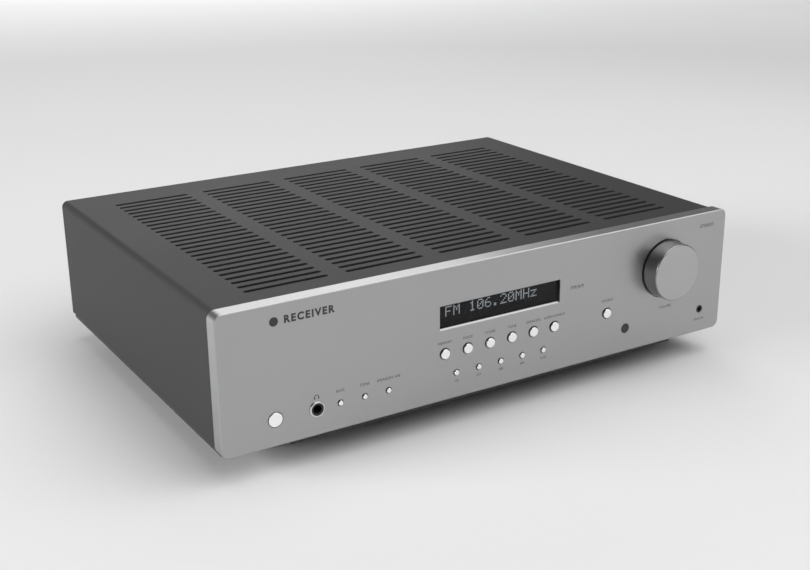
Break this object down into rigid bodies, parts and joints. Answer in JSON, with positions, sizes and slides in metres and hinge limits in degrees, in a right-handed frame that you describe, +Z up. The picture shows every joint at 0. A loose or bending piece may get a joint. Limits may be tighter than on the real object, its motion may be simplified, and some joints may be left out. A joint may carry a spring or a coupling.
{
  "type": "stereo receiver",
  "caption": "Full-width hi-fi stereo receiver: silver front panel with display, keys and volume knob, dark vented cover, feet, rear sockets.",
  "frame": {"origin": "centre of the bounding box in plan, on the surface the feet stand on", "axes": "+X to the right seen from the front, +Y from the face to the rear, +Z up"},
  "size_m": [0.43, 0.338, 0.118],
  "materials": {
    "silver_panel": "fine satin, bead blasted and anodised",
    "knob_metal": "spun satin",
    "button_metal": "polished",
    "cover_paint": "matt textured paint",
    "rear_paint": "matt paint",
    "plated_steel": "zinc plated",
    "screw_steel": "blackened",
    "nickel": "nickel plated",
    "gold_plate": "gold plated",
    "black_plastic": "fine moulded texture",
    "cap_plastic": "clear over black",
    "smoked_window": "polished smoked acrylic",
    "pad_rubber": "soft matt",
    "circuit_board": "solder mask",
    "sink_metal": "black anodised",
    "winding_tape": "polyester tape over copper",
    "capacitor_sleeve": "heat shrunk sleeve",
    "ribbon_plastic": "flat cable"
  },
  "bodies": {
    "chassis": {"aerial_socket": "nickel", "aux_jack": "black_plastic", "board_standoffs": "plated_steel", "case_screws": "screw_steel", "chassis_base": "plated_steel", "display_module": "smoked_window", "display_window": "smoked_window", "encoder_nut": "plated_steel", "feet": "black_plastic", "filter_capacitors": "capacitor_sleeve", "foot_pads": "pad_rubber", "front_board": "circuit_board", "front_panel": "silver_panel", "front_subframe": "plated_steel", "headphone_jack": "black_plastic", "headphone_ring": "nickel", "heat_sink": "sink_metal", "inlet_pins": "nickel", "input_board": "circuit_board", "ir_window": "smoked_window", "main_board": "circuit_board", "mains_inlet": "black_plastic", "phono_shells": "nickel", "phono_sockets": "black_plastic", "power_transistors": "black_plastic", "rear_panel": "rear_paint", "ribbon_cable": "ribbon_plastic", "speaker_posts": "gold_plate", "switch_housing": "black_plastic", "tact_switches": "black_plastic", "terminal_block": "black_plastic", "top_cover": "cover_paint", "transformer_clamp": "plated_steel", "transformer_winding": "winding_tape", "tuner_module": "plated_steel", "volume_encoder": "black_plastic"},
    "volume": {"volume_knob": "knob_metal", "encoder_shaft": "plated_steel"},
    "rocker": {"mains_rocker": "black_plastic"},
    "power_button_body": {"power_button": "button_metal"},
    "source_button_body": {"source_button": "button_metal"},
    "mode_button_1_body": {"mode_button_1": "button_metal"},
    "mode_button_2_body": {"mode_button_2": "button_metal"},
    "mode_button_3_body": {"mode_button_3": "button_metal"},
    "function_button_1_body": {"function_button_1": "button_metal"},
    "function_button_2_body": {"function_button_2": "button_metal"},
    "function_button_3_body": {"function_button_3": "button_metal"},
    "function_button_4_body": {"function_button_4": "button_metal"},
    "function_button_5_body": {"function_button_5": "button_metal"},
    "function_button_6_body": {"function_button_6": "button_metal"},
    "preset_button_1_body": {"preset_button_1": "button_metal"},
    "preset_button_2_body": {"preset_button_2": "button_metal"},
    "preset_button_3_body": {"preset_button_3": "button_metal"},
    "preset_button_4_body": {"preset_button_4": "button_metal"},
    "preset_button_5_body": {"preset_button_5": "button_metal"},
    "post_cap_1_body": {"post_cap_1": "cap_plastic"},
    "post_cap_2_body": {"post_cap_2": "cap_plastic"},
    "post_cap_3_body": {"post_cap_3": "cap_plastic"},
    "post_cap_4_body": {"post_cap_4": "cap_plastic"}
  },
  "joints": [
    {"name": "volume_turn", "type": "hinge", "parent": "chassis", "child": "volume", "pos_m": [0.1542, -0.155, 0.0804], "axis": [0, 1, 0], "continuous": true},
    {"name": "power_press", "type": "slide", "parent": "chassis", "child": "power_button_body", "axis": [0, 1, 0], "range_m": [0, 0.0012], "stiffness_N_per_m": 400, "springref_m": -0.001},
    {"name": "source_press", "type": "slide", "parent": "chassis", "child": "source_button_body", "axis": [0, 1, 0], "range_m": [0, 0.0008], "stiffness_N_per_m": 400, "springref_m": -0.001},
    {"name": "mode_1_press", "type": "slide", "parent": "chassis", "child": "mode_button_1_body", "axis": [0, 1, 0], "range_m": [0, 0.0008], "stiffness_N_per_m": 400, "springref_m": -0.001},
    {"name": "mode_2_press", "type": "slide", "parent": "chassis", "child": "mode_button_2_body", "axis": [0, 1, 0], "range_m": [0, 0.0008], "stiffness_N_per_m": 400, "springref_m": -0.001},
    {"name": "mode_3_press", "type": "slide", "parent": "chassis", "child": "mode_button_3_body", "axis": [0, 1, 0], "range_m": [0, 0.0008], "stiffness_N_per_m": 400, "springref_m": -0.001},
    {"name": "function_1_press", "type": "slide", "parent": "chassis", "child": "function_button_1_body", "axis": [0, 1, 0], "range_m": [0, 0.0008], "stiffness_N_per_m": 400, "springref_m": -0.001},
    {"name": "function_2_press", "type": "slide", "parent": "chassis", "child": "function_button_2_body", "axis": [0, 1, 0], "range_m": [0, 0.0008], "stiffness_N_per_m": 400, "springref_m": -0.001},
    {"name": "function_3_press", "type": "slide", "parent": "chassis", "child": "function_button_3_body", "axis": [0, 1, 0], "range_m": [0, 0.0008], "stiffness_N_per_m": 400, "springref_m": -0.001},
    {"name": "function_4_press", "type": "slide", "parent": "chassis", "child": "function_button_4_body", "axis": [0, 1, 0], "range_m": [0, 0.0008], "stiffness_N_per_m": 400, "springref_m": -0.001},
    {"name": "function_5_press", "type": "slide", "parent": "chassis", "child": "function_button_5_body", "axis": [0, 1, 0], "range_m": [0, 0.0008], "stiffness_N_per_m": 400, "springref_m": -0.001},
    {"name": "function_6_press", "type": "slide", "parent": "chassis", "child": "function_button_6_body", "axis": [0, 1, 0], "range_m": [0, 0.0008], "stiffness_N_per_m": 400, "springref_m": -0.001},
    {"name": "preset_1_press", "type": "slide", "parent": "chassis", "child": "preset_button_1_body", "axis": [0, 1, 0], "range_m": [0, 0.0008], "stiffness_N_per_m": 400, "springref_m": -0.001},
    {"name": "preset_2_press", "type": "slide", "parent": "chassis", "child": "preset_button_2_body", "axis": [0, 1, 0], "range_m": [0, 0.0008], "stiffness_N_per_m": 400, "springref_m": -0.001},
    {"name": "preset_3_press", "type": "slide", "parent": "chassis", "child": "preset_button_3_body", "axis": [0, 1, 0], "range_m": [0, 0.0008], "stiffness_N_per_m": 400, "springref_m": -0.001},
    {"name": "preset_4_press", "type": "slide", "parent": "chassis", "child": "preset_button_4_body", "axis": [0, 1, 0], "range_m": [0, 0.0008], "stiffness_N_per_m": 400, "springref_m": -0.001},
    {"name": "preset_5_press", "type": "slide", "parent": "chassis", "child": "preset_button_5_body", "axis": [0, 1, 0], "range_m": [0, 0.0008], "stiffness_N_per_m": 400, "springref_m": -0.001},
    {"name": "post_cap_1_turn", "type": "hinge", "parent": "chassis", "child": "post_cap_1_body", "pos_m": [-0.1005, 0.169, 0.0455], "axis": [0, 1, 0], "range_deg": [0, 1080]},
    {"name": "post_cap_2_turn", "type": "hinge", "parent": "chassis", "child": "post_cap_2_body", "pos_m": [-0.0815, 0.169, 0.0455], "axis": [0, 1, 0], "range_deg": [0, 1080]},
    {"name": "post_cap_3_turn", "type": "hinge", "parent": "chassis", "child": "post_cap_3_body", "pos_m": [-0.0625, 0.169, 0.0455], "axis": [0, 1, 0], "range_deg": [0, 1080]},
    {"name": "post_cap_4_turn", "type": "hinge", "parent": "chassis", "child": "post_cap_4_body", "pos_m": [-0.0435, 0.169, 0.0455], "axis": [0, 1, 0], "range_deg": [0, 1080]},
    {"name": "mains_rocker_tilt", "type": "hinge", "parent": "chassis", "child": "rocker", "pos_m": [-0.175, 0.1506, 0.0805], "axis": [1, 0, 0], "range_deg": [-18, 0]}
  ]
}
